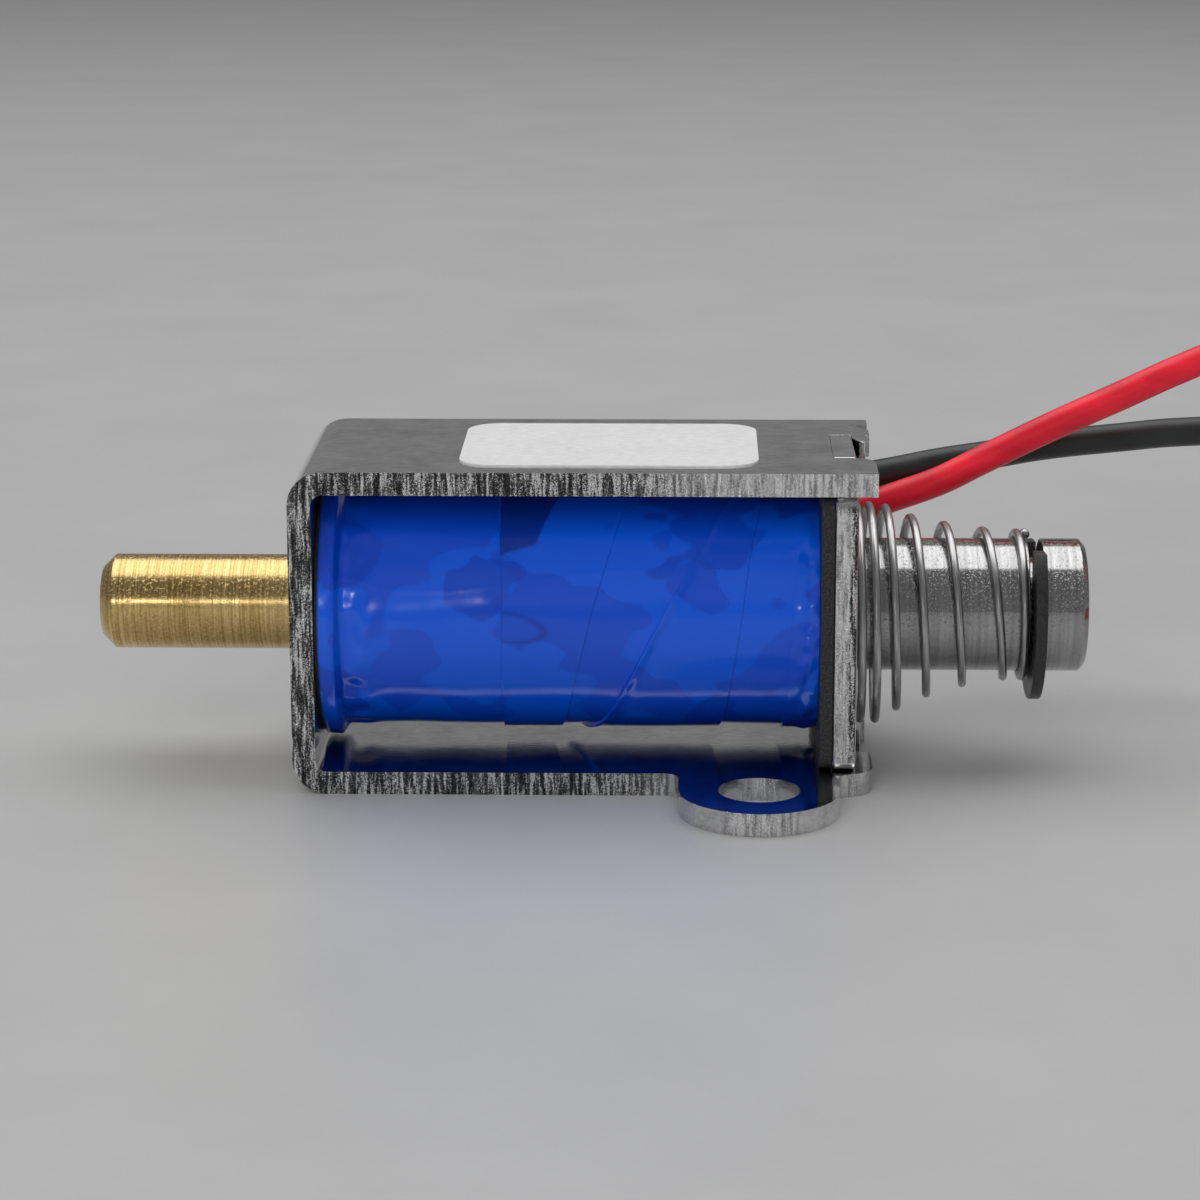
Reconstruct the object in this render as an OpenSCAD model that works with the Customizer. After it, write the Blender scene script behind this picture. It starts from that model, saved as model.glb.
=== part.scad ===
// Push pull solenoid with an open steel frame, a taped coil, a spring return
// plunger and a brass push rod that goes right through the coil.
// X runs along the plunger, towards the pull end. Z is up. The origin lies
// under the middle of the frame, on the face that the frame stands on.

/* [Part shown] */
// Sub-part to draw, or all of them

/* [Frame] */
// Length of the frame along the plunger
frame_len = 30; // [28:0.5:40]
// Width of the frame across the plunger
frame_w = 14.2; // [14:0.1:20]
// Height of the frame
frame_h = 17; // [16.5:0.5:24]
// Thickness of the steel sheet
sheet_t = 1.2; // [0.8:0.1:1.6]
// Inside radius of the two folds
fold_r = 0.6; // [0.3:0.1:1.2]
// How far the walls stand past the end plate
wall_past_plate = 0.95; // [0.6:0.05:1.5]
// Width of the notches that take the end plate's tabs
notch_w = 6; // [4:0.2:8]
// Play between a tab and the sides of its notch
tab_play = 0.05; // [0.02:0.01:0.2]
// Width of the lip that is staked over a tab
lip_w = 0.7; // [0.5:0.05:0.9]
// How far the lip reaches over the tab
lip_reach = 1.9; // [1:0.1:2.5]
// Depth of the chisel mark that spreads the lip
stake_depth = 0.7; // [0.3:0.1:1]

/* [Mounting ears] */
// Radius of an ear
ear_r = 4.1; // [3.4:0.1:5]
// Diameter of an ear's screw hole
ear_hole_d = 4.2; // [2.5:0.1:5]
// Distance of the screw hole from the frame's side
ear_reach = 2.8; // [2.4:0.1:5]
// Distance of the screw hole from the frame's end
ear_from_end = 5.95; // [5:0.05:9]
// Radius where an ear runs into the frame
ear_fillet_r = 0.8; // [0.3:0.1:1.2]

/* [End plate] */
// Thickness of the end plate
plate_t = 1.2; // [0.8:0.1:2]
// Radius of the end plate's corners
plate_corner_r = 1; // [0.4:0.1:2]
// Play around the plunger in the end plate
plate_play = 0.08; // [0.03:0.01:0.1]

/* [Coil] */
// Diameter of the copper winding
winding_d = 12.4; // [11:0.1:13]
// Thickness of the wrapped tape
tape_t = 0.17; // [0.1:0.01:0.4]
// Wall of the bobbin's barrel
barrel_wall = 0.6; // [0.4:0.05:1]
// Thickness of the bobbin's round flange
round_flange_t = 0.6; // [0.4:0.05:1]
// Diameter of the bobbin's round flange
round_flange_d = 13.6; // [13:0.1:14]
// Thickness of the bobbin's square flange
square_flange_t = 0.7; // [0.4:0.05:1]
// Play between the square flange and the frame
flange_play = 0.1; // [0.05:0.05:0.3]
// Wall of the brass guide tube
tube_wall = 0.25; // [0.15:0.05:0.4]
// Play between the guide tube and the bobbin's bore
tube_play = 0.02; // [0.01:0.01:0.1]
// Play between the plunger and the guide tube
plunger_play = 0.05; // [0.02:0.01:0.1]

/* [Pole piece] */
// Length of the pole piece inside the coil
pole_len = 6; // [4:0.5:8]
// Wall of the spigot that is riveted into the frame
spigot_wall = 0.65; // [0.4:0.05:1]
// Play between the push rod and the pole piece
rod_play = 0.05; // [0.02:0.01:0.1]

/* [Plunger] */
// Diameter of the plunger
plunger_d = 7; // [6.4:0.1:7.4]
// Stroke of the plunger
stroke = 6; // [3:0.5:6]
// Gap that is left when the plunger is fully in
closed_gap = 0.2; // [0.1:0.05:0.5]
// Length of the plunger's conical nose
nose_len = 1.4; // [0.8:0.1:2.5]
// Radius that the nose loses along its length
nose_drop = 0.8; // [0.4:0.1:0.9]
// Length of the head beyond the clip
head_len = 2.3; // [1.5:0.1:5]
// Chamfer on the plunger's ends and groove
plunger_chamfer = 0.3; // [0.1:0.05:0.6]
// Diameter at the bottom of the clip's groove
groove_d = 5; // [4:0.1:6]
// Width of the clip's groove
groove_w = 0.75; // [0.65:0.05:1.2]

/* [Push rod] */
// Diameter of the brass push rod
rod_d = 5; // [4:0.1:5]
// How far the push rod stands out of the frame
rod_out = 10.6; // [7:0.1:20]
// Chamfer on the push rod's tip
rod_chamfer = 0.65; // [0.2:0.05:1]
// Diameter of the tail that is pressed into the plunger
tail_d = 3; // [2:0.1:3.5]
// Length of that tail
tail_len = 6; // [3:0.5:10]
// Room behind the tail in the plunger's bore
tail_room = 0.3; // [0.1:0.1:1]

/* [Retaining clip] */
// Outside diameter of the clip
clip_d = 10; // [9:0.1:12]
// Thickness of the clip
clip_t = 0.6; // [0.4:0.05:0.6]
// Width of the clip's opening
clip_gap = 4.4; // [3:0.1:4.8]
// Height of the prongs' ends above the plunger's axis
prong_h = 3.1; // [2.5:0.1:3.6]
// Turn of the clip in its groove, in degrees
clip_turn = -7; // [-30:1:30]

/* [Return spring] */
// Free length between the end plate and the clip
spring_len = 9.3; // [9.3:0.1:14]
// Diameter of the spring wire
wire_d = 0.45; // [0.3:0.05:0.5]
// Radius of the spring at the end plate
spring_big_r = 5.65; // [5:0.05:6]
// Play between the spring's small end and the plunger
spring_play = 0.07; // [0.05:0.01:0.3]
// How far the loose big end has dropped off centre
spring_drop = 0.45; // [0:0.05:0.6]

/* [Rating label] */
// Length of the blank label
label_len = 15.4; // [8:0.1:20]
// Width of the blank label
label_w = 11; // [6:0.1:12]
// Distance of the label's middle from the frame's middle
label_x = 1.3; // [-5:0.1:5]
// Thickness of the label
label_t = 0.08; // [0.05:0.01:0.2]
// Radius of the label's corners
label_corner_r = 1.8; // [0.5:0.1:3]

/* [Leads] */
// Diameter of an insulated lead
lead_d = 1.6; // [1.2:0.1:1.6]
// Diameter of the sleeve over a lead's joint
sleeve_d = 2; // [1.8:0.1:2.4]
// Length of that sleeve
sleeve_len = 6; // [4:0.5:8]
// How far a lead goes into its sleeve
lead_in_sleeve = 2; // [1:0.5:3]
// Length of the tinned end
tip_len = 5; // [3:0.5:8]
// Diameter of the tinned end
tip_d = 0.8; // [0.5:0.1:1]
// Thickness of the tie around a coiled lead
tie_t = 0.2; // [0.1:0.05:0.4]
// Width of that tie
tie_w = 2.5; // [1.5:0.5:4]

/* [Hidden] */

$fn = 64;
cut = 1; // how far a cutting tool runs past what it cuts

// frame
half_len = frame_len / 2;
half_w = frame_w / 2;
axis_z = frame_h / 2;
wall_in = -half_len + sheet_t;
plate_out = half_len - wall_past_plate;
plate_in = plate_out - plate_t;
tab_w = notch_w - 2 * tab_play;
plate_h = frame_h - 2 * sheet_t;
stub_r = 1.3;
stub_outer_r = 1.4;

// chisel mark: its near side, point and far side from the notch, and its depth
stake_near = 0.1;
stake_tip = 2.4;
stake_far = 3.5;
stake_in = 0.85;

// coil, from the inside out
plunger_r = plunger_d / 2;
tube_in_r = plunger_r + plunger_play;
tube_out_r = tube_in_r + tube_wall;
bore_r = tube_out_r + tube_play;
barrel_r = bore_r + barrel_wall;
winding_r = winding_d / 2;
tape_r = winding_r + tape_t;
round_flange_r = round_flange_d / 2;
coil_from = wall_in + round_flange_t;
coil_to = plate_in - square_flange_t;
pole_end = wall_in + pole_len;
lip_from = wall_in + 0.2; // the tape's edge, folded over the round flange
lip_to = coil_from + 0.3;
lip_foot = lip_to + 0.5;

// moving pieces, drawn where the spring holds them
rod_hole_r = rod_d / 2 + rod_play;
spigot_r = rod_hole_r + spigot_wall;
nose_from = pole_end + closed_gap + stroke;
nose_tip = nose_from - nose_len;
nose_r = plunger_r - nose_drop;
clip_from = plate_out + spring_len;
groove_to = clip_from + clip_t;
groove_from = groove_to - groove_w;
head_end = groove_to + head_len;
rod_tip = -half_len - rod_out;

// return spring: places along its length and its taper, at each half turn
spring_run = [0, 0.03, 0.075, 0.12, 0.175, 0.25, 0.33, 0.43, 0.53, 0.645, 0.76,
    0.885, 0.955, 0.985, 1];
spring_taper = [0, 0, 0, 0, 0.1, 0.3, 0.46, 0.6, 0.73, 0.84, 0.93, 0.99, 1, 1, 1];
spring_small_r = plunger_r + wire_d / 2 + spring_play;
steps_per_turn = 36;

// leads: the sleeves lie on the tape, at the back of the coil
sleeve_r = sleeve_d / 2;
lead_r = lead_d / 2;
sleeve_from_axis = tape_r + sleeve_r;
red_angle = 13.3;
black_angle = 33.8;
red_sleeve_to = 8;
black_sleeve_to = 6;
tape_patch = [-1, 5.5];
tape_patch_t = 0.15;

// centre line of the red lead, up to its coil
red_route = [
    [6, 7.17, 10.2], [8, 7.17, 10.2], [10.2, 7.6, 10.5], [12.4, 8.05, 11.1],
    [14.5, 8.1, 11.75], [17, 8, 12.65], [19.2, 7.9, 13.5], [21.3, 7.8, 14.6],
    [25.6, 7.6, 16.8], [28.8, 7.5, 18.3], [32, 7.5, 19.8], [34.6, 7.5, 20.8],
    [37.4, 7.4, 21.2], [40.2, 7.2, 20.4], [42.7, 7, 18.2], [44.7, 6.8, 15],
    [46.6, 6.6, 11.2], [48.6, 6.4, 7.4], [51, 6.2, 4], [54, 6, 1.9],
    [57.5, 6, 1.1], [61.5, 6, 1], [65.5, 6, 1], [69.5, 6, 1]
];

// centre line of the black lead, up to its coil
black_route = [
    [4, 6.12, 12.6], [6, 6.12, 12.6], [8.2, 6.6, 12.65], [10.4, 7.5, 12.8],
    [12.4, 8.2, 13], [14.4, 8.9, 13.35], [16.9, 9.5, 13.7], [19.3, 9.9, 14.1],
    [22, 10, 14.5], [24.8, 10, 15], [29.2, 10, 15.5], [32.4, 10, 15.8],
    [35.6, 10, 15.8], [38.8, 10, 15], [41.8, 10, 13.1], [44.4, 10, 10.3],
    [46.9, 10, 7.2], [49.6, 10, 4.3], [52.8, 10, 2.2], [56.4, 10, 1.2],
    [60.5, 10, 1], [65, 10, 1], [69.5, 10.1, 1], [74, 10.7, 1], [79, 11.6, 1],
    [84, 12, 1], [88.6, 12, 1]
];

// the two coiled lengths lie on the floor, each two turns high: middle, radius
turn_z = [tie_t + lead_r, tie_t + 3 * lead_r];
red_ring = [69.5, -3.6];
red_ring_r = 6 * lead_d;
black_ring = [88.6, 3.2];
black_ring_r = 5.5 * lead_d;
// where each last turn ends, in degrees past its start
red_past = -9;
black_past = -43;

// ---------- shapes that repeat ----------

// round bar along the plunger's axis
module bar(from, to, r) {
    translate([from, 0, axis_z]) rotate([0, 90, 0]) cylinder(h = to - from, r = r);
}

// solid turned about the plunger's axis from [radius, x] points
module turned(profile) {
    translate([0, 0, axis_z]) rotate([0, 90, 0]) rotate_extrude() polygon(profile);
}

// flat shape in Y and Z, pushed along X
module pushed(from, to) {
    translate([from, 0, 0]) rotate([90, 0, 90]) linear_extrude(to - from) children();
}

// rectangle with round corners, about its own middle
module round_rect(w, h, r) {
    square([w - 2 * r, h], center = true);
    square([w, h - 2 * r], center = true);
    for (x = [r - w / 2, w / 2 - r], y = [r - h / 2, h / 2 - r]) {
        translate([x, y]) circle(r);
    }
}

// what a rounded corner of radius r loses, with the corner at the origin
// and the sheet towards -x and -y
module corner_waste(r) {
    difference() {
        translate([-r, -r]) square(r + cut);
        translate([-r, -r]) circle(r);
        translate([-r, -r - cut]) square([cut / 100, cut]);
    }
}

// unit vector, and a ring of points around p square to the direction t
function unit(v) = v / norm(v);
function ring_at(p, t, r, sides, ref) =
    let (a = unit(cross(t, ref)), b = cross(a, t))
    [for (i = [0:sides - 1]) p + r * (cos(360 * i / sides) * a + sin(360 * i / sides) * b)];
function heading(path, i) =
    unit(path[min(i + 1, len(path) - 1)] - path[max(i - 1, 0)]);

// round wire swept along a path; ref is never in line with the path
module wire(path, r, sides, ref) {
    n = len(path);
    points = [for (i = [0:n - 1]) each ring_at(path[i], heading(path, i), r, sides, ref)];
    sides_quads = [for (i = [0:n - 2], j = [0:sides - 1])
        let (k = (j + 1) % sides)
        [i * sides + j, i * sides + k, (i + 1) * sides + k, (i + 1) * sides + j]];
    start = [for (j = [sides - 1:-1:0]) j];
    end = [for (j = [0:sides - 1]) (n - 1) * sides + j];
    polyhedron(points, concat([start], sides_quads, [end]), convexity = 10);
}

// smooth value between the entries of a table, n counted in entries
function smooth_at(table, n) =
    let (i = min(floor(n), len(table) - 2), f = n - i,
        a = table[max(i - 1, 0)], b = table[i], c = table[i + 1],
        d = table[min(i + 2, len(table) - 1)])
    b + f / 2 * (c - a + f * (2 * a - 5 * b + 4 * c - d + f * (3 * (b - c) + d - a)));

// ---------- frame and end plate ----------

// side view of the strip that is folded into a U, open at the plate's end
module fold_outline(inset, r) {
    x = -half_len + inset;
    z = inset;
    h = frame_h - 2 * inset;
    translate([x + r, z]) square([frame_len + cut, h]);
    translate([x, z + r]) square([frame_len, h - 2 * r]);
    for (side = [z + r, z + h - r]) {
        translate([x + r, side]) circle(r);
    }
}

module folded_strip() {
    translate([0, half_w, 0]) rotate([90, 0, 0]) linear_extrude(frame_w) {
        intersection() {
            translate([-half_len, 0]) square([frame_len, frame_h]);
            difference() {
                fold_outline(0, fold_r + sheet_t);
                fold_outline(sheet_t, fold_r);
            }
        }
    }
}

// plan of a chisel mark in the end of a wall, behind its lip
module stake_mark() {
    y = notch_w / 2;
    end = half_len + cut;
    polygon([[half_len - stake_in, y + stake_tip], [end, y + stake_near], [end, y + stake_far]]);
}

// plan of the lip that the chisel pushes over the tab
module lip() {
    y = notch_w / 2;
    x = plate_out;
    polygon([[x, y + 0.5], [x, y - 0.4 * lip_reach], [x + 0.4 * lip_w, y - 0.85 * lip_reach],
        [x + 0.85 * lip_w, y - lip_reach], [x + lip_w, y - 0.6 * lip_reach],
        [x + lip_w, y + 0.5]]);
}

module ear_plan() {
    edge = half_w;
    centre = half_w + ear_reach;
    circle_x = half_len - ear_from_end;
    translate([circle_x, -centre]) circle(ear_r);
    translate([circle_x - ear_r, -centre]) square([2 * ear_r, ear_reach + cut]);
    for (side = [-1, 1]) {
        translate([circle_x + side * ear_r, -edge]) mirror([side > 0 ? 1 : 0, 0]) difference() {
            translate([-ear_fillet_r, -ear_fillet_r]) square([ear_fillet_r + cut, ear_fillet_r + cut]);
            translate([-ear_fillet_r, -ear_fillet_r]) circle(ear_fillet_r);
            translate([-ear_fillet_r - cut, 0]) square([ear_fillet_r + 3 * cut, 2 * cut]);
        }
    }
}

module ear() {
    linear_extrude(sheet_t) difference() {
        ear_plan();
        translate([half_len - ear_from_end, -half_w - ear_reach]) circle(ear_hole_d / 2);
    }
}

module frame() {
    color("silver") {
        difference() {
            folded_strip();
            // riveted hole for the pole piece
            bar(-half_len - cut, wall_in + cut, spigot_r);
            // notches for the plate's tabs
            translate([plate_in, -notch_w / 2, -cut]) cube([frame_len, notch_w, sheet_t + 2 * cut]);
            translate([plate_in, -notch_w / 2, frame_h - sheet_t - cut])
                cube([frame_len, notch_w, sheet_t + 2 * cut]);
            // chisel marks, one in each wall
            translate([0, 0, frame_h - stake_depth]) linear_extrude(stake_depth + cut) stake_mark();
            translate([0, 0, -cut]) linear_extrude(stake_depth + cut) stake_mark();
            // rounded corners of the two near stubs
            translate([half_len, -notch_w / 2, frame_h - sheet_t - cut])
                linear_extrude(sheet_t + 2 * cut) corner_waste(stub_r);
            translate([half_len, -half_w, -cut]) mirror([0, 1, 0])
                linear_extrude(sheet_t + 2 * cut) corner_waste(stub_outer_r);
        }
        translate([0, 0, frame_h - sheet_t]) linear_extrude(sheet_t) lip();
        linear_extrude(sheet_t) lip();
        ear();
        mirror([1, 0, 0]) mirror([0, 1, 0]) ear();
    }
}

module end_plate() {
    color("gainsboro") difference() {
        pushed(plate_in, plate_out) union() {
            translate([0, axis_z]) round_rect(frame_w, plate_h, plate_corner_r);
            translate([-tab_w / 2, 0]) square([tab_w, frame_h]);
        }
        bar(plate_in - cut, plate_out + cut, plunger_r + plate_play);
    }
}

// ---------- coil ----------

module bobbin() {
    color("dimgray") difference() {
        union() {
            bar(wall_in, coil_from, round_flange_r);
            bar(coil_from, coil_to, barrel_r);
            pushed(coil_to, plate_in) translate([0, axis_z])
                round_rect(frame_w, plate_h - 2 * flange_play, plate_corner_r);
        }
        bar(wall_in - cut, plate_in + cut, bore_r);
    }
}

module coil_winding() {
    color("peru") difference() {
        bar(coil_from, coil_to, winding_r);
        bar(coil_from - cut, coil_to + cut, barrel_r);
    }
}

// tape over the winding, folded up over the round flange's rim
module tape_wrap() {
    color("mediumblue") turned([
        [winding_r, coil_from], [round_flange_r, coil_from], [round_flange_r, lip_from],
        [round_flange_r + tape_t, lip_from], [round_flange_r + tape_t, lip_to],
        [tape_r, lip_foot], [tape_r, coil_to], [winding_r, coil_to]
    ]);
}

function on_coil(angle, r) = [r * cos(angle), axis_z + r * sin(angle)];

// patch of tape that holds the two sleeves down
module splice_tape() {
    red = on_coil(red_angle, sleeve_from_axis);
    black = on_coil(black_angle, sleeve_from_axis);
    middle = (red_angle + black_angle) / 2;
    outer = sleeve_r + tape_patch_t;
    away = outer * [cos(middle), sin(middle)];
    color("mediumblue") pushed(tape_patch[0], tape_patch[1]) difference() {
        union() {
            translate(red) circle(outer);
            translate(black) circle(outer);
            polygon([
                on_coil(red_angle - 28, tape_r + tape_patch_t),
                red + outer * [cos(red_angle - 40), sin(red_angle - 40)],
                red + away, black + away,
                black + outer * [cos(black_angle + 40), sin(black_angle + 40)],
                on_coil(black_angle + 28, tape_r + tape_patch_t),
                on_coil(black_angle + 28, tape_r - cut), on_coil(red_angle - 28, tape_r - cut)
            ]);
        }
        translate([0, axis_z]) circle(tape_r);
        translate(red) circle(sleeve_r);
        translate(black) circle(sleeve_r);
    }
}

module guide_tube() {
    color("goldenrod") difference() {
        bar(pole_end, plate_in, tube_out_r);
        bar(pole_end - cut, plate_in + cut, tube_in_r);
    }
}

// fixed core, riveted into the frame, with a hollow that takes the nose
module pole_piece() {
    color("lightsteelblue") turned([
        [rod_hole_r, -half_len], [spigot_r, -half_len], [spigot_r, wall_in],
        [tube_out_r, wall_in], [tube_out_r, pole_end], [plunger_r, pole_end],
        [nose_r, pole_end - nose_len], [rod_hole_r, pole_end - nose_len]
    ]);
}

// ---------- moving pieces ----------

module plunger() {
    tail_end = nose_tip + tail_len + tail_room;
    c = plunger_chamfer;
    color("lightgray") turned([
        [tail_d / 2, nose_tip], [nose_r, nose_tip], [plunger_r, nose_from],
        [plunger_r, groove_from], [groove_d / 2, groove_from], [groove_d / 2, groove_to],
        [plunger_r, groove_to], [plunger_r, head_end - c], [plunger_r - c, head_end],
        [0, head_end], [0, tail_end], [tail_d / 2, tail_end]
    ]);
}

module push_rod() {
    r = rod_d / 2;
    color("goldenrod") turned([
        [0, rod_tip], [r - rod_chamfer, rod_tip], [r, rod_tip + rod_chamfer],
        [r, nose_tip], [tail_d / 2, nose_tip], [tail_d / 2, nose_tip + tail_len],
        [0, nose_tip + tail_len]
    ]);
}

// E shaped clip, open upwards, with three lobes that grip the groove
module retaining_clip() {
    grip = groove_d / 2;
    relief = plunger_r + 0.1;
    lobe = 2.2;
    prong_grip = 1.6;
    color("dimgray") translate([0, 0, axis_z]) rotate([clip_turn, 0, 0]) translate([0, 0, -axis_z])
        pushed(clip_from, groove_to) translate([0, axis_z]) difference() {
            circle(clip_d / 2);
            circle(grip);
            difference() {
                circle(relief);
                translate([-lobe / 2, -relief]) square([lobe, relief]);
                translate([-relief, grip - prong_grip]) square([2 * relief, relief]);
            }
            translate([-clip_gap / 2, 0]) square([clip_gap, clip_d]);
            translate([-clip_d, prong_h]) square([2 * clip_d, clip_d]);
        }
}

// wide at the end plate and narrow at the clip, with both ends closed
module return_spring() {
    turns = (len(spring_run) - 1) / 2;
    first = plate_out + wire_d / 2;
    length = spring_len - wire_d;
    path = [for (i = [0:turns * steps_per_turn])
        let (n = i / steps_per_turn, angle = 360 * n,
            taper = smooth_at(spring_taper, 2 * n),
            r = spring_big_r + (spring_small_r - spring_big_r) * taper)
        [first + length * smooth_at(spring_run, 2 * n), -r * sin(angle),
            axis_z - spring_drop * (1 - taper) + r * cos(angle)]];
    color("gray") wire(path, wire_d / 2, 8, [1, 0, 0]);
}

module rating_label() {
    color("whitesmoke") translate([label_x, 0, frame_h]) linear_extrude(label_t)
        round_rect(label_len, label_w, label_corner_r);
}

// ---------- leads ----------

module sleeve(angle, to) {
    place = on_coil(angle, sleeve_from_axis);
    pushed(to - sleeve_len, to - lead_in_sleeve) translate(place) circle(sleeve_r);
    pushed(to - lead_in_sleeve, to) translate(place) difference() {
        circle(sleeve_r);
        circle(lead_r);
    }
}

module red_sleeve() {
    color("black") sleeve(red_angle, red_sleeve_to);
}

module black_sleeve() {
    color("black") sleeve(black_angle, black_sleeve_to);
}

module red_lead() {
    color("crimson") wire(red_route, lead_r, 8, [0, 0, 1]);
}

module black_lead() {
    color("black") wire(black_route, lead_r, 8, [0, 0, 1]);
}

// two turns of lead on top of each other
module ring_section(r, grow) {
    for (z = turn_z) {
        translate([r, z]) circle(lead_r + grow);
    }
    translate([r - lead_r - grow, turn_z[0]])
        square([lead_d + 2 * grow, turn_z[1] - turn_z[0]]);
}

module coiled_lead(middle, r) {
    translate(middle) rotate_extrude() ring_section(r, 0);
}

module red_coil() {
    color("crimson") coiled_lead(red_ring, red_ring_r);
}

module black_coil() {
    color("black") coiled_lead(black_ring, black_ring_r);
}

// band around both turns, at the front of the ring
module tie(middle, r) {
    translate(middle) difference() {
        intersection() {
            rotate_extrude() ring_section(r, tie_t);
            translate([-tie_w / 2, -r - lead_d, -cut]) cube([tie_w, 2 * lead_d, 3 * lead_d + cut]);
        }
        rotate_extrude() ring_section(r, 0);
    }
}

module red_tie() {
    color("black") tie(red_ring, red_ring_r);
}

module black_tie() {
    color("black") tie(black_ring, black_ring_r);
}

// tinned end, straight on from where the last turn ends; the turns start at
// the back of the ring and run clockwise
module tip(middle, r, past) {
    angle = 90 - past;
    translate([middle[0] + r * cos(angle), middle[1] + r * sin(angle), turn_z[1]])
        rotate([0, 0, angle - 90]) rotate([0, 90, 0]) cylinder(h = tip_len, r = tip_d / 2);
}

module red_tip() {
    color("silver") tip(red_ring, red_ring_r, red_past);
}

module black_tip() {
    color("silver") tip(black_ring, black_ring_r, black_past);
}

// ---------- assembly ----------

frame();
end_plate();
bobbin();
coil_winding();
tape_wrap();
splice_tape();
guide_tube();
pole_piece();
plunger();
push_rod();
retaining_clip();
return_spring();
rating_label();
red_sleeve();
black_sleeve();
red_lead();
black_lead();
red_coil();
black_coil();
red_tie();
black_tie();
red_tip();
black_tip();
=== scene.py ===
"""Looks of the push pull solenoid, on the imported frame. Metres, X along the plunger, Z up."""
import math

import bmesh
import bpy
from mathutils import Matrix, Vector, noise


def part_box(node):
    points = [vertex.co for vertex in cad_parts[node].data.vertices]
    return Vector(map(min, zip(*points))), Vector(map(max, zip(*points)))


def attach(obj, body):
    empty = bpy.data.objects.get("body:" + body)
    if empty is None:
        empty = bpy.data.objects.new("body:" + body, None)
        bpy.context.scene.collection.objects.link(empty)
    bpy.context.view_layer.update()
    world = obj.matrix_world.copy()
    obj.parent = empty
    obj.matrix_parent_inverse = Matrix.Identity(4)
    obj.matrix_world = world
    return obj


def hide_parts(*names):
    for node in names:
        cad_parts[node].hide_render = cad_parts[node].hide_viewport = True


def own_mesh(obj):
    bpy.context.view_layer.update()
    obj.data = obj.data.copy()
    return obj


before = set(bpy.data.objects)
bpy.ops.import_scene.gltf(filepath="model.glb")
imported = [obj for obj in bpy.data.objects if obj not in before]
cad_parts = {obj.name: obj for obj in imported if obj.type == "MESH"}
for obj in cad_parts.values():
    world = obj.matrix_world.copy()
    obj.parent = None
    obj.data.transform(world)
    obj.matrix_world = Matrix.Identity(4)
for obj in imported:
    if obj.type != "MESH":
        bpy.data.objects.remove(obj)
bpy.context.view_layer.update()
MM = 0.001


def as_written(r, g, b):
    """A colour in the usual 0 to 255 values, as the linear one that a shader takes."""
    parts = [c / 255 for c in (r, g, b)]
    return [c / 12.92 if c < 0.04 else ((c + 0.055) / 1.055) ** 2.4 for c in parts] + [1]


# ---------- camera, lights, floor ----------

def add_camera():
    data = bpy.data.cameras.new("camera")
    data.sensor_width = 36
    data.lens = 106.25
    data.clip_start = 0.01
    data.clip_end = 10
    camera = bpy.data.objects.new("camera", data)
    camera.location = (0.00533, -0.18212, 0.05417)
    camera.rotation_euler = [math.radians(a) for a in (75.966, 0.105, 1.419)]
    bpy.context.collection.objects.link(camera)
    bpy.context.scene.camera = camera


def add_lamp(name, place, size, watts, in_gloss=True):
    """Rectangular lamp that looks at the origin."""
    data = bpy.data.lights.new(name, "AREA")
    data.shape = "RECTANGLE"
    data.size, data.size_y = size
    data.energy = watts
    lamp = bpy.data.objects.new(name, data)
    lamp.location = place
    lamp.rotation_euler = (-Vector(place)).to_track_quat("-Z", "Y").to_euler()
    lamp.visible_glossy = in_gloss
    bpy.context.collection.objects.link(lamp)


def add_light():
    add_lamp("softbox_top", (0.0, 0.13, 0.45), (0.8, 0.5), 2.5)
    add_lamp("fill_front", (-0.1, -0.6, 0.35), (0.5, 0.4), 2.4, in_gloss=False)
    add_lamp("glint_front", (-0.12, -0.6, 0.14), (0.05, 0.05), 0.12)
    world = bpy.data.worlds.new("studio")
    world.use_nodes = True
    background = world.node_tree.nodes["Background"]
    background.inputs["Color"].default_value = (1, 1, 1, 1)
    background.inputs["Strength"].default_value = 0.22
    bpy.context.scene.world = world
    bpy.context.scene.view_settings.view_transform = "Standard"


# ---------- materials ----------

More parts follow.
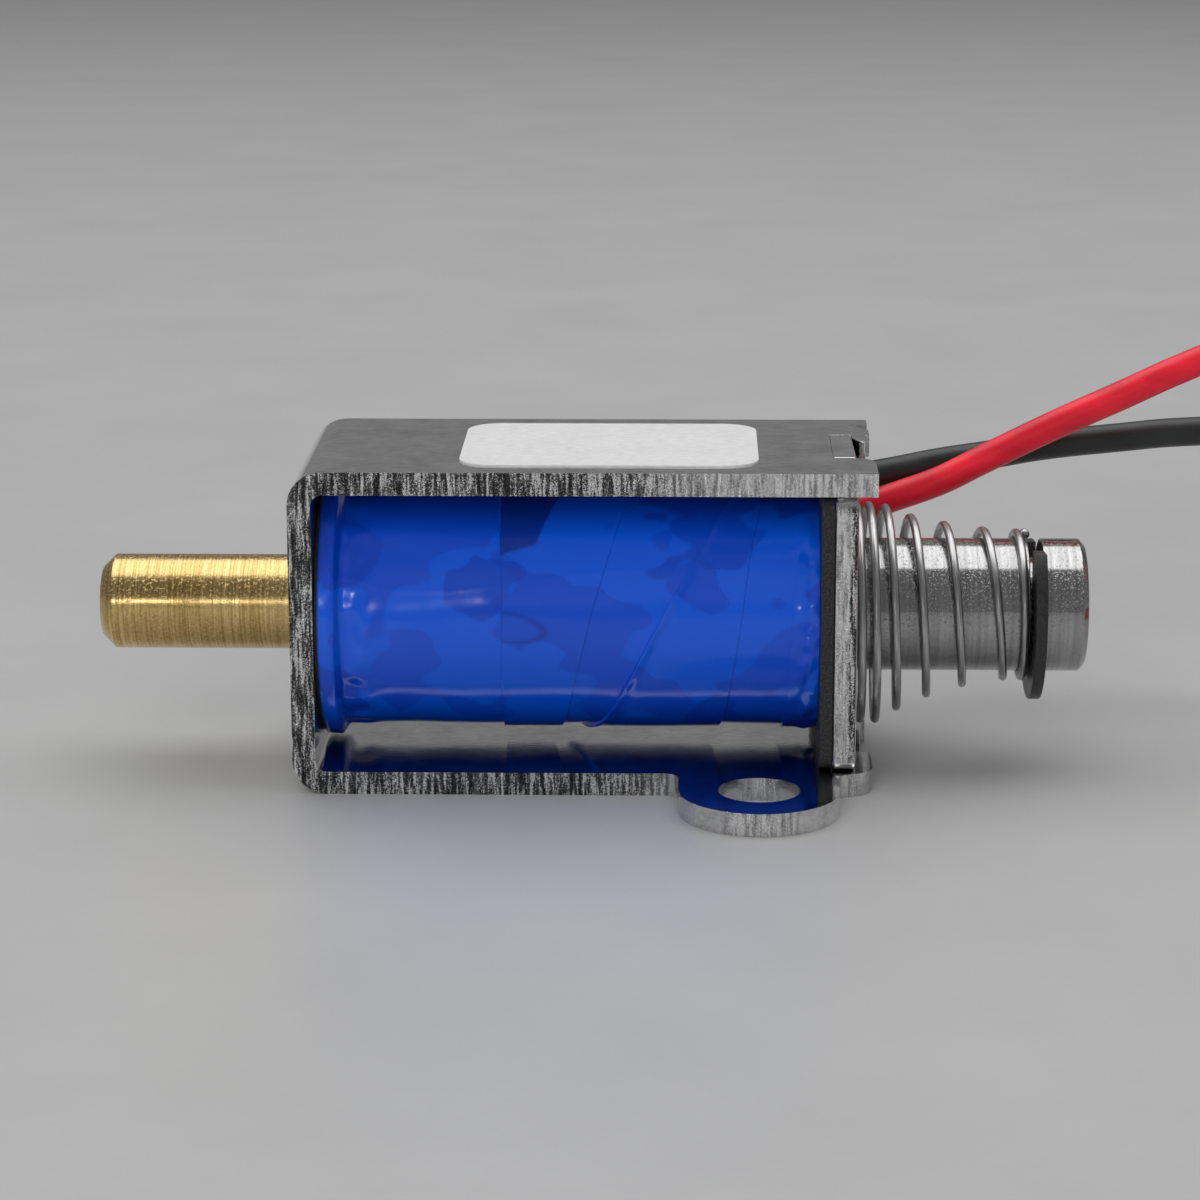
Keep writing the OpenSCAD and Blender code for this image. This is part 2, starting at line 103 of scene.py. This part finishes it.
class Surface:
    """One procedural material, built around the Principled shader."""

    def __init__(self, name, **sockets):
        self.material = bpy.data.materials.new(name)
        self.material.use_nodes = True
        self.tree = self.material.node_tree
        self.shader = self.tree.nodes["Principled BSDF"]
        for socket, value in sockets.items():
            self.shader.inputs[socket.replace("_", " ")].default_value = value

    def node(self, kind, inputs, output=0, **settings):
        """Add a node; inputs are values or other nodes' outputs, by name or place."""
        node = self.tree.nodes.new("ShaderNode" + kind)
        for name, value in settings.items():
            setattr(node, name, value)
        for socket, value in inputs.items():
            if isinstance(value, bpy.types.NodeSocket):
                self.tree.links.new(value, node.inputs[socket])
            else:
                node.inputs[socket].default_value = value
        return node.outputs[output]

    def place(self, stretch=(1, 1, 1), source="Object"):
        """Coordinates in the object's own metres, stretched along its axes."""
        at = self.node("TexCoord", {}, output=source)
        return self.node("Mapping", {"Vector": at, "Scale": stretch})

    def noise(self, scale, detail=2.0, rough=0.5, stretch=(1, 1, 1), source="Object"):
        return self.node("TexNoise", {
            "Vector": self.place(stretch, source), "Scale": scale, "Detail": detail,
            "Roughness": rough})

    def ramp(self, value, *stops):
        """Colours, or grey levels, at places from 0 to 1."""
        color = self.node("ValToRGB", {"Fac": value})
        elements = color.node.color_ramp.elements
        while len(elements) < len(stops):
            elements.new(0.5)
        for element, (place, tone) in zip(elements, stops):
            element.position = place
            element.color = tone if isinstance(tone, (list, tuple)) else (tone, tone, tone, 1)
        return color

    def step(self, value, low, high):
        """0 below low, 1 above high, smooth between."""
        return self.node("MapRange", {
            "Value": value, "From Min": low, "From Max": high}, interpolation_type="SMOOTHSTEP")

    def math(self, operation, a, b):
        return self.node("Math", {0: a, 1: b}, operation=operation)

    def mix(self, share, a, b):
        return self.node("Mix", {0: share, 6: a, 7: b}, data_type="RGBA", output=2)

    def along(self, axis, source="Object"):
        at = self.node("TexCoord", {}, output=source)
        return self.node("SeparateXYZ", {"Vector": at}, output="XYZ".index(axis))

    def set(self, socket, value):
        self.tree.links.new(value, self.shader.inputs[socket])

    def bump(self, height, depth, strength=1.0):
        """Relief of that many metres; a second call adds to the first."""
        under = self.shader.inputs["Normal"].links
        bump = self.node("Bump", {"Height": height, "Distance": depth, "Strength": strength})
        if under:
            self.tree.links.new(under[0].from_socket, bump.node.inputs["Normal"])
        self.set("Normal", bump)


def dress(node, surface):
    """Give a CAD node, or a piece made here, its material."""
    target = bpy.data.objects[node] if isinstance(node, str) else node
    if target.data.materials:
        for slot in target.material_slots:
            slot.material = surface.material
    else:
        target.data.materials.append(surface.material)


def pressed_steel(name, burnished):
    """Plated sheet: satin faces, and sheared edges with a burnished band where that mask is 1."""
    s = Surface(name, Metallic=1.0)
    shear = s.step(s.math("ABSOLUTE", s.along("Y", "Normal"), 0), 0.8, 0.97)
    blotch = s.noise(420, 5, 0.6)
    grain = s.noise(5200, 2, 0.5, (0.35, 1, 1))
    face = s.ramp(s.math("ADD", s.math("MULTIPLY", blotch, 0.6), s.math("MULTIPLY", grain, 0.4)),
                  (0.36, 0.5), (0.5, 0.66), (0.64, 0.8))
    tears = s.noise(5200, 2, 0.6, (1, 0.05, 0.1))
    specks = s.noise(14000, 3, 0.75)
    level = s.math("ADD", s.math("MULTIPLY", tears, 0.5), s.math("MULTIPLY", specks, 0.5))
    torn = s.ramp(level, (0.42, 0.03), (0.5, 0.12), (0.57, 0.85))
    bright = s.ramp(level, (0.4, 0.3), (0.5, 0.7), (0.58, 0.95))
    edge = s.mix(burnished(s), torn, bright)
    s.set("Base Color", s.mix(shear, face, edge))
    s.set("Roughness", s.math("ADD", s.math("MULTIPLY", blotch, 0.22),
                              s.math("MULTIPLY", shear, 0.12)))
    s.bump(s.math("MULTIPLY", level, shear), 0.00006)
    s.bump(grain, 0.000004)
    return s


def frame_burnish(s):
    """The frame's edges tore less towards the end plate."""
    uneven = s.math("MULTIPLY", s.noise(300, 2), 0.006)
    return s.step(s.math("ADD", s.along("X"), uneven), 0.004, 0.012)


def plate_burnish(s):
    """The inner part of the plate's edge was cut smoothly, and the rest tore off."""
    uneven = s.math("MULTIPLY", s.noise(2500, 3), 0.0003)
    return s.step(s.math("SUBTRACT", 0.01356, s.math("SUBTRACT", s.along("X"), uneven)), 0, 0.00012)


def turned_metal(name, dark, light, roughness, ring, speck):
    """Turned bar: faint rings along X, pits and specks in its plating."""
    s = Surface(name, Metallic=1.0)
    rings = s.noise(ring, 2, 0.5, (1, 0.02, 0.02))
    specks = s.noise(speck, 3, 0.7)
    wear = s.noise(300, 3)
    mixed = s.math("ADD", s.math("MULTIPLY", rings, 0.5), s.math("MULTIPLY", specks, 0.5))
    s.set("Base Color", s.ramp(mixed, (0.4, dark), (0.62, light)))
    s.set("Roughness", s.math("ADD", roughness, s.math("MULTIPLY", wear, roughness)))
    s.bump(s.step(specks, 0.56, 0.7), 0.00001)
    s.bump(rings, 0.000003)
    return s


def moulded_black(name, tone, roughness, grain, depth):
    """Dark plastic or oxide with a fine grain that catches the light."""
    s = Surface(name)
    grains = s.noise(grain, 3, 0.7)
    patches = s.noise(600, 3)
    s.set("Base Color", s.ramp(grains, (0.45, tone), (0.72, tone * 4.5)))
    s.set("Roughness", s.math("ADD", roughness, s.math("MULTIPLY", patches, 0.15)))
    s.bump(grains, depth)
    return s


def tape_surface():
    """Glossy blue film, darker where its glue has wetted the layer below."""
    s = Surface("blue_tape", IOR=1.5, Specular_IOR_Level=0.5)
    wet = s.step(s.noise(210, 2, 0.5, (0.8, 1, 1)), 0.53, 0.545)
    wetter = s.step(s.noise(130, 3, 0.45, (1, 0.8, 1.4)), 0.56, 0.575)
    film = s.mix(wet, as_written(6, 84, 214), as_written(8, 72, 200))
    film = s.mix(s.math("MULTIPLY", wetter, 0.7), film, as_written(6, 60, 182))
    marks = s.node("Attribute", {}, output=2, attribute_name="glued")
    s.set("Base Color", s.mix(marks, film, as_written(5, 48, 150)))
    s.set("Roughness", s.math("ADD", 0.1, s.math("MULTIPLY", s.noise(900, 2), 0.1)))
    s.bump(s.noise(260, 2), 0.00006)
    s.bump(s.noise(5000, 1), 0.000001)
    return s


def label_surface():
    """Blank silver grey sticker."""
    s = Surface("label_foil", Metallic=0.15)
    fibre = s.noise(3800, 3, 0.6, (0.5, 1, 1))
    s.set("Base Color", s.ramp(fibre, (0.35, 0.68), (0.65, 0.78)))
    s.set("Roughness", s.math("ADD", 0.34, s.math("MULTIPLY", s.noise(500, 3), 0.12)))
    s.bump(fibre, 0.000004)
    return s


def insulation(name, deep, light):
    """Soft PVC with faint flow marks and dust."""
    s = Surface(name, IOR=1.5)
    flow = s.noise(900, 3, 0.5, (0.3, 1, 1))
    dust = s.noise(6500, 2, 0.6)
    s.set("Base Color", s.ramp(flow, (0.35, deep), (0.65, light)))
    s.set("Roughness", s.math("ADD", 0.36, s.math("MULTIPLY", dust, 0.16)))
    s.bump(flow, 0.00002)
    s.bump(dust, 0.000006)
    return s


def shrunk_sleeve():
    """Heat shrink tube with fine rings where it drew in."""
    s = Surface("sleeve_black")
    rings = s.noise(3000, 3, 0.6, (1, 0.15, 0.15))
    s.set("Base Color", s.ramp(rings, (0.4, 0.012), (0.62, 0.03)))
    s.set("Roughness", s.math("ADD", 0.4, s.math("MULTIPLY", rings, 0.2)))
    s.bump(rings, 0.00004)
    return s


def wire_steel():
    """Drawn wire: fine scratches run along it, across its own V."""
    s = Surface("spring_steel", Metallic=1.0)
    drawn = s.noise(9, 3, 0.6, (2.2, 2.5, 1), "UV")
    grain = s.noise(9000, 2)
    s.set("Base Color", s.ramp(drawn, (0.35, 0.3), (0.5, 0.42), (0.68, 0.62)))
    s.set("Roughness", s.math("ADD", 0.26, s.math("MULTIPLY", grain, 0.16)))
    s.bump(drawn, 0.00001)
    return s


def copper():
    s = Surface("copper_wire", Metallic=1.0)
    turns = s.noise(6000, 1, 0.5, (1, 0.02, 0.02))
    s.set("Base Color", s.ramp(turns, (0.4, [0.3, 0.09, 0.03, 1]), (0.6, [0.55, 0.2, 0.08, 1])))
    s.set("Roughness", s.math("ADD", 0.25, s.math("MULTIPLY", turns, 0.1)))
    s.bump(turns, 0.00005)
    return s


def floor_surface():
    s = Surface("floor_paper")
    mottle = s.noise(60, 4, 0.6)
    grain = s.noise(1800, 2, 0.5)
    s.set("Base Color", s.ramp(mottle, (0.3, 0.4), (0.7, 0.43)))
    s.set("Roughness", s.math("ADD", 0.34, s.math("MULTIPLY", grain, 0.08)))
    s.bump(grain, 0.00001)
    return s


def add_floor():
    bpy.ops.mesh.primitive_plane_add(size=6, location=(0, 0, 0))
    floor = bpy.context.object
    floor.name = "floor"
    dress(floor, floor_surface())


# ---------- mesh pieces ----------

def add_piece(name, bm, surface, body, stands_for=()):
    """Turn a bmesh into a smooth piece that rides on a body."""
    data = bpy.data.meshes.new(name)
    bmesh.ops.recalc_face_normals(bm, faces=bm.faces)
    bm.to_mesh(data)
    bm.free()
    for polygon in data.polygons:
        polygon.use_smooth = True
    piece = bpy.data.objects.new(name, data)
    bpy.context.collection.objects.link(piece)
    dress(piece, surface)
    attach(piece, body)
    if stands_for:
        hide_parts(*stands_for)
    return piece


def rounded(node, surface, body, width, segments=3):
    """The same solid with its sharp edges rounded, as pressing, turning or moulding leaves them."""
    bm = bmesh.new()
    bm.from_mesh(bpy.data.objects[node].data)
    bmesh.ops.remove_doubles(bm, verts=bm.verts, dist=0.002 * MM)
    bmesh.ops.dissolve_limit(
        bm, angle_limit=math.radians(0.5), verts=bm.verts, edges=bm.edges)
    sharp = [e for e in bm.edges if e.calc_face_angle(0) > math.radians(32)]
    bmesh.ops.bevel(bm, geom=sharp, offset=width * MM, segments=segments, profile=0.5,
                    affect="EDGES", clamp_overlap=True)
    piece = add_piece(node + "_finished", bm, surface, body, [node])
    piece.modifiers.new("flat_faces", "WEIGHTED_NORMAL").weight = 80
    return piece


def swept(bm, path, radius, sides, uv=None):
    """Closed tube along a path of vectors in mm; uv lays U along it and V around it."""
    rings = []
    side = Vector((1, 0, 0))
    for i, point in enumerate(path):
        ahead = (path[min(i + 1, len(path) - 1)] - path[max(i - 1, 0)]).normalized()
        side = (side - ahead * side.dot(ahead)).normalized()
        up = ahead.cross(side)
        turns = [2 * math.pi * j / sides for j in range(sides)]
        rings.append([
            bm.verts.new((point + radius * (math.cos(t) * side + math.sin(t) * up)) * MM)
            for t in turns])
    for i in range(len(rings) - 1):
        for j in range(sides):
            k = (j + 1) % sides
            face = bm.faces.new((rings[i][j], rings[i][k], rings[i + 1][k], rings[i + 1][j]))
            if uv:
                spots = ((i, j), (i, j + 1), (i + 1, j + 1), (i + 1, j))
                for loop, (u, v) in zip(face.loops, spots):
                    loop[uv].uv = (u / SPRING_STEPS, v / sides)
    bm.faces.new(rings[0][::-1])
    bm.faces.new(rings[-1])


# ---------- return spring ----------

# along the free length, and the share of the taper, at each half turn
SPRING_RUN = (0, 0.03, 0.075, 0.12, 0.175, 0.25, 0.33, 0.43, 0.53, 0.645, 0.76, 0.885, 0.955,
              0.985, 1)
SPRING_TAPER = (0, 0, 0, 0, 0.1, 0.3, 0.46, 0.6, 0.73, 0.84, 0.93, 0.99, 1, 1, 1)
SPRING_STEPS = 36
SPRING_TURNS = (len(SPRING_RUN) - 1) // 2
BIG_R, SMALL_R, WIRE_R, DROP = 5.65, 3.795, 0.225, 0.45


def smooth_at(table, n):
    """Value on the smooth curve through a table's entries, n counted in entries."""
    i = min(int(n), len(table) - 2)
    f = n - i
    a, b, c, d = (table[min(max(i + k, 0), len(table) - 1)] for k in (-1, 0, 1, 2))
    return b + f / 2 * (c - a + f * (2 * a - 5 * b + 4 * c - d + f * (3 * (b - c) + d - a)))


def add_spring(surface):
    low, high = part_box("return_spring")
    axis_z = (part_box("plunger")[0].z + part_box("plunger")[1].z) / 2 / MM
    first, last = low.x / MM + WIRE_R, high.x / MM - WIRE_R
    path = []
    for i in range(SPRING_TURNS * SPRING_STEPS + 1):
        n = 2 * i / SPRING_STEPS
        angle = math.radians(360 * i / SPRING_STEPS)
        taper = smooth_at(SPRING_TAPER, n)
        r = BIG_R + (SMALL_R - BIG_R) * taper
        path.append(Vector((
            first + (last - first) * smooth_at(SPRING_RUN, n), -r * math.sin(angle),
            axis_z - DROP * (1 - taper) + r * math.cos(angle))))
    bm = bmesh.new()
    swept(bm, path, WIRE_R, 16, bm.loops.layers.uv.new("UVMap"))
    spring = add_piece("spring_wire", bm, surface, "housing", ["return_spring"])
    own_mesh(spring)


# ---------- tape ----------

LIP_TO, LIP_FOOT = -12.9, -12.4
COIL_AXIS_Z = 8.5
TAPE_R = 6.37
# free edges of the tape's layers: angles up from the front, with places along X
STRAIGHT_EDGE = ((-71, -4.26), (-20, -4.2), (15, -4.14), (69, -4.46))
FIRST_EDGE = ((-62, -1.05), (-25, -0.42), (6, 0.38), (34, 1.28), (69, 2.25))
LIFTED_EDGE = ((-62, 0.79), (-31, 2.0), (-3, 3.45), (15, 4.57), (42, 6.25), (69, 7.45))
LAST_EDGE = ((-61, 7.21), (-24, 7.68), (6, 8.16), (34, 8.56), (69, 9.21))
END_EDGE = ((-61, 10.4), (-8, 10.63), (34, 11.02), (67, 11.44))
# a seam of the layer below, as places along X with their angles
SEAM = ((-12.6, 25.5), (-10.8, 21.7), (-9.7, 19.4), (-6.8, 19.5), (-4.1, 22), (-0.8, 25.8))


def along_table(table, value):
    """Straight line interpolation in a table of pairs, carried on past both ends."""
    i = 0
    while i < len(table) - 2 and value > table[i + 1][0]:
        i += 1
    (a, x), (b, y) = table[i], table[i + 1]
    return x + (y - x) * (value - a) / (b - a)


def ease(value):
    value = min(max(value, 0), 1)
    return value * value * (3 - 2 * value)


def tape_radius(x, angle):
    """Radius in mm of the tape's skin, with its folds, at X and at degrees up from the front."""
    turn = math.radians(angle)
    c, s = math.cos(turn), math.sin(turn)
    free = ease((138 - abs(angle)) / 20)
    wave = 0.07 * noise.noise(Vector((0.22 * x, 1.3 * c, 1.3 * s)))
    foot = math.exp(-((x - LIP_FOOT - 0.5) / 0.9) ** 2)
    pleats = 0.2 * foot * noise.noise(Vector((0.7 * x, 5 * c, 5 * s)))
    end = math.exp(-((x - 11.7) / 0.6) ** 2)
    tucks = 0.16 * end * noise.noise(Vector((1.3 * x, 6 * c + 9, 6 * s)))
    seam = 0.0
    if -12.7 < x < 2:
        seam = 0.02 * math.exp(-((angle - along_table(SEAM, x)) / 1.2) ** 2)
    lip = 0.6 * ease((LIP_FOOT - x) / (LIP_FOOT - LIP_TO))
    return TAPE_R + lip + free * (wave + pleats + tucks + seam)


def glued(x, angle):
    """1 where the glue of the first layer shows dark through it."""
    blot = ease((-1.9 + 0.035 * (angle - 55) - x) / 0.12) * ease((angle - 36 - 3 * (x + 4)) / 1.5)
    blot *= ease((x + 4.35) / 0.05)
    reach = ((x + 4.1) / 2.1) ** 2 + ((angle - 2.4 + 1.2 * (x + 4)) / 6.8) ** 2
    ring = math.exp(-((math.sqrt(reach) - 1) / 0.12) ** 2) if x > -4.2 else 0
    return min(blot + 0.75 * ring, 1)


def on_coil(x, angle, r):
    turn = math.radians(angle)
    return Vector((x, -r * math.cos(turn), COIL_AXIS_Z + r * math.sin(turn))) * MM


def skin(bm, columns, angles, spot, closed):
    """Sheet of quads; spot gives X and radius for a column and an angle."""
    layer = bm.verts.layers.float["glued"]
    rows = []
    for angle in angles:
        row = []
        for column in columns:
            x, r, mark = spot(column, angle)
            vert = bm.verts.new(on_coil(x, angle, r))
            vert[layer] = mark
            row.append(vert)
        rows.append(row)
    if closed:
        rows.append(rows[0])
    for a, b in zip(rows, rows[1:]):
        for i in range(len(columns) - 1):
            bm.faces.new((a[i], a[i + 1], b[i + 1], b[i]))


def add_base_skin(bm, start, end):
    """The tape's lower layers, with both cut ends turned in."""
    steps = 210
    columns = [-1] + list(range(steps + 1)) + [steps + 1]

    def spot(column, angle):
        x = start + (end - start) * min(max(column, 0), steps) / steps
        inside = column < 0 or column > steps
        return x, tape_radius(x, angle) - (0.14 if inside else 0), 0.0

    skin(bm, columns, [i * 1.25 - 180 for i in range(288)], spot, closed=True)


def add_layer(bm, left, right, height, reach, lift=0.0):
    """One more layer between two free edges, from below the coil to above it."""
    shares = [0, 0, 0.004] + [i / 60 for i in range(1, 60)] + [0.996, 1, 1]
    low, high = reach
    angles = [low + (high - low) * i / 200 for i in range(201)]

    def spot(column, angle):
        share = shares[column]
        x = left(angle) + (right(angle) - left(angle)) * share
        slack = 0.12 * ease((-52 - angle) / 30) * ease((angle - low) / 12)
        curl = lift * math.exp(-((x - left(angle)) / 0.35) ** 2)
        curl *= 0.75 + 0.5 * noise.noise(Vector((0.12 * angle, x, 4)))
        r = tape_radius(x, angle) + height + slack + curl
        if column in (0, len(shares) - 1) or angle in (low, high):
            r = tape_radius(x, angle) - 0.02
        elif column in (1, len(shares) - 2):
            r -= 0.35 * height
        return x, r, glued(x, angle) if lift == 0 else 0.0

    skin(bm, range(len(shares)), angles, spot, closed=False)


def add_tape(surface):
    low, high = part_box("tape_wrap")
    start, end = low.x / MM, high.x / MM
    bm = bmesh.new()
    bm.verts.layers.float.new("glued")
    add_base_skin(bm, start, end)
    add_layer(bm, lambda a: along_table(STRAIGHT_EDGE, a), lambda a: along_table(FIRST_EDGE, a),
              0.055, (-118, 118))
    add_layer(bm, lambda a: along_table(LIFTED_EDGE, a), lambda a: along_table(LAST_EDGE, a),
              0.06, (-112, 84), lift=0.13)
    add_layer(bm, lambda a: along_table(END_EDGE, a), lambda a: end, 0.05, (-120, 120))
    add_piece("tape_layers", bm, surface, "housing", ["tape_wrap"])


# ---------- leads ----------

# each route's points are those of the part's own source
RED_ROUTE = [
    (6, 7.17, 10.2), (8, 7.17, 10.2), (10.2, 7.6, 10.5), (12.4, 8.05, 11.1),
    (14.5, 8.1, 11.75), (17, 8, 12.65), (19.2, 7.9, 13.5), (21.3, 7.8, 14.6),
    (25.6, 7.6, 16.8), (28.8, 7.5, 18.3), (32, 7.5, 19.8), (34.6, 7.5, 20.8),
    (37.4, 7.4, 21.2), (40.2, 7.2, 20.4), (42.7, 7, 18.2), (44.7, 6.8, 15),
    (46.6, 6.6, 11.2), (48.6, 6.4, 7.4), (51, 6.2, 4), (54, 6, 1.9),
    (57.5, 6, 1.1), (61.5, 6, 1), (65.5, 6, 1), (69.5, 6, 1),
]
BLACK_ROUTE = [
    (4, 6.12, 12.6), (6, 6.12, 12.6), (8.2, 6.6, 12.65), (10.4, 7.5, 12.8),
    (12.4, 8.2, 13), (14.4, 8.9, 13.35), (16.9, 9.5, 13.7), (19.3, 9.9, 14.1),
    (22, 10, 14.5), (24.8, 10, 15), (29.2, 10, 15.5), (32.4, 10, 15.8),
    (35.6, 10, 15.8), (38.8, 10, 15), (41.8, 10, 13.1), (44.4, 10, 10.3),
    (46.9, 10, 7.2), (49.6, 10, 4.3), (52.8, 10, 2.2), (56.4, 10, 1.2),
    (60.5, 10, 1), (65, 10, 1), (69.5, 10.1, 1), (74, 10.7, 1), (79, 11.6, 1),
    (84, 12, 1), (88.6, 12, 1),
]
LEAD_R = 0.8
TURN_Z = (1.0, 2.6)
# where the first turn starts to climb onto itself and over how far, in degrees
CLIMB_FROM, CLIMB_OVER = 275, 65
# each ring's middle and radius, and where its last turn ends, in degrees past its start
RED_RING = ((69.5, -3.6), 9.6, -9)
BLACK_RING = ((88.6, 3.2), 8.8, -43)
# tinned ends, in mm and in degrees of twist per mm
TIP_R, TIP_STEP, TIP_STEPS, TIP_TWIST = 0.4, 0.1, 50, 75


def ring_points(middle, radius, past, step=12):
    """Two turns on top of each other, clockwise from the ring's back, in mm."""
    points = []
    end = 720 + past
    for turned in list(range(step, end, step)) + [end]:
        z = TURN_Z[0] + (TURN_Z[1] - TURN_Z[0]) * ease((turned - CLIMB_FROM) / CLIMB_OVER)
        angle = math.radians(90 - turned)
        points.append((
            middle[0] + radius * math.cos(angle), middle[1] + radius * math.sin(angle), z))
    return points


def add_lead(color, route, ring, surface):
    points = route + ring_points(*ring)
    data = bpy.data.curves.new(color + "_insulation", "CURVE")
    data.dimensions = "3D"
    data.bevel_depth = LEAD_R * MM
    data.bevel_resolution = 6
    data.resolution_u = 6
    data.use_fill_caps = True
    spline = data.splines.new("BEZIER")
    spline.bezier_points.add(len(points) - 1)
    for bezier, point in zip(spline.bezier_points, points):
        bezier.co = Vector(point) * MM
        bezier.handle_left_type = bezier.handle_right_type = "AUTO"
    lead = bpy.data.objects.new(color + "_insulation", data)
    bpy.context.collection.objects.link(lead)
    dress(lead, surface)
    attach(lead, "housing")
    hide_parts(color + "_lead", color + "_coil")


def add_strands(color, ring, surface):
    """Tinned end of a lead: one strand in the middle and six twisted around it."""
    middle, radius, past = ring
    turn = math.radians(90 - past)
    start = Vector((middle[0] + radius * math.cos(turn), middle[1] + radius * math.sin(turn),
                    TURN_Z[1]))
    ahead = Vector((math.sin(turn), -math.cos(turn), 0))
    across, up = ahead.cross(Vector((0, 0, 1))), Vector((0, 0, 1))
    thick = TIP_R / 3
    bm = bmesh.new()
    steps = [TIP_STEP * i for i in range(TIP_STEPS + 1)]
    swept(bm, [start + ahead * s for s in steps], thick, 8)
    for strand in range(6):
        turns = [math.radians(60 * strand + TIP_TWIST * s) for s in steps]
        swept(bm, [start + ahead * s + 2 * thick * (math.cos(t) * across + math.sin(t) * up)
                   for s, t in zip(steps, turns)], thick, 8)
    add_piece(color + "_strands", bm, surface, "housing", [color + "_tip"])


# ---------- the part ----------

def dress_metal():
    steel = pressed_steel("frame_steel", frame_burnish)
    rounded("frame", steel, "housing", 0.14)
    rounded("end_plate", pressed_steel("plate_steel", plate_burnish), "housing", 0.1)
    nickel = turned_metal("plunger_nickel", 0.3, 0.45, 0.09, 5000, 9000)
    rounded("plunger", nickel, "armature", 0.06)
    brass = turned_metal("rod_brass", [0.42, 0.27, 0.08, 1], [0.8, 0.6, 0.28, 1], 0.16, 9000, 7000)
    rounded("push_rod", brass, "armature", 0.06)
    dress("pole_piece", turned_metal("core_steel", 0.35, 0.55, 0.2, 4000, 8000))
    dress("guide_tube", turned_metal(
        "tube_brass", [0.5, 0.34, 0.12, 1], [0.75, 0.55, 0.25, 1], 0.2, 4000, 8000))
    dress("coil_winding", copper())
    add_spring(wire_steel())


def dress_plastic():
    plastic = moulded_black("bobbin_plastic", 0.012, 0.5, 9000, 0.00003)
    rounded("bobbin", plastic, "housing", 0.08)
    oxide = moulded_black("clip_black", 0.009, 0.32, 12000, 0.00002)
    rounded("retaining_clip", oxide, "armature", 0.05)
    tape = tape_surface()
    add_tape(tape)
    dress("splice_tape", tape)
    dress("rating_label", label_surface())
    sleeve = shrunk_sleeve()
    dress("red_sleeve", sleeve)
    dress("black_sleeve", sleeve)
    tie = moulded_black("tie_black", 0.012, 0.4, 4000, 0.00002)
    dress("red_tie", tie)
    dress("black_tie", tie)


def add_leads():
    tin = turned_metal("tinned_copper", 0.4, 0.62, 0.2, 3000, 6000)
    red = insulation("lead_red", as_written(200, 10, 36), as_written(235, 24, 50))
    black = insulation("lead_black", as_written(20, 22, 22), as_written(34, 36, 36))
    for color, route, ring, surface in (
            ("red", RED_ROUTE, RED_RING, red), ("black", BLACK_ROUTE, BLACK_RING, black)):
        add_strands(color, ring, tin)
        add_lead(color, route, ring, surface)


add_camera()
add_light()
add_floor()
add_leads()
dress_metal()
dress_plastic()
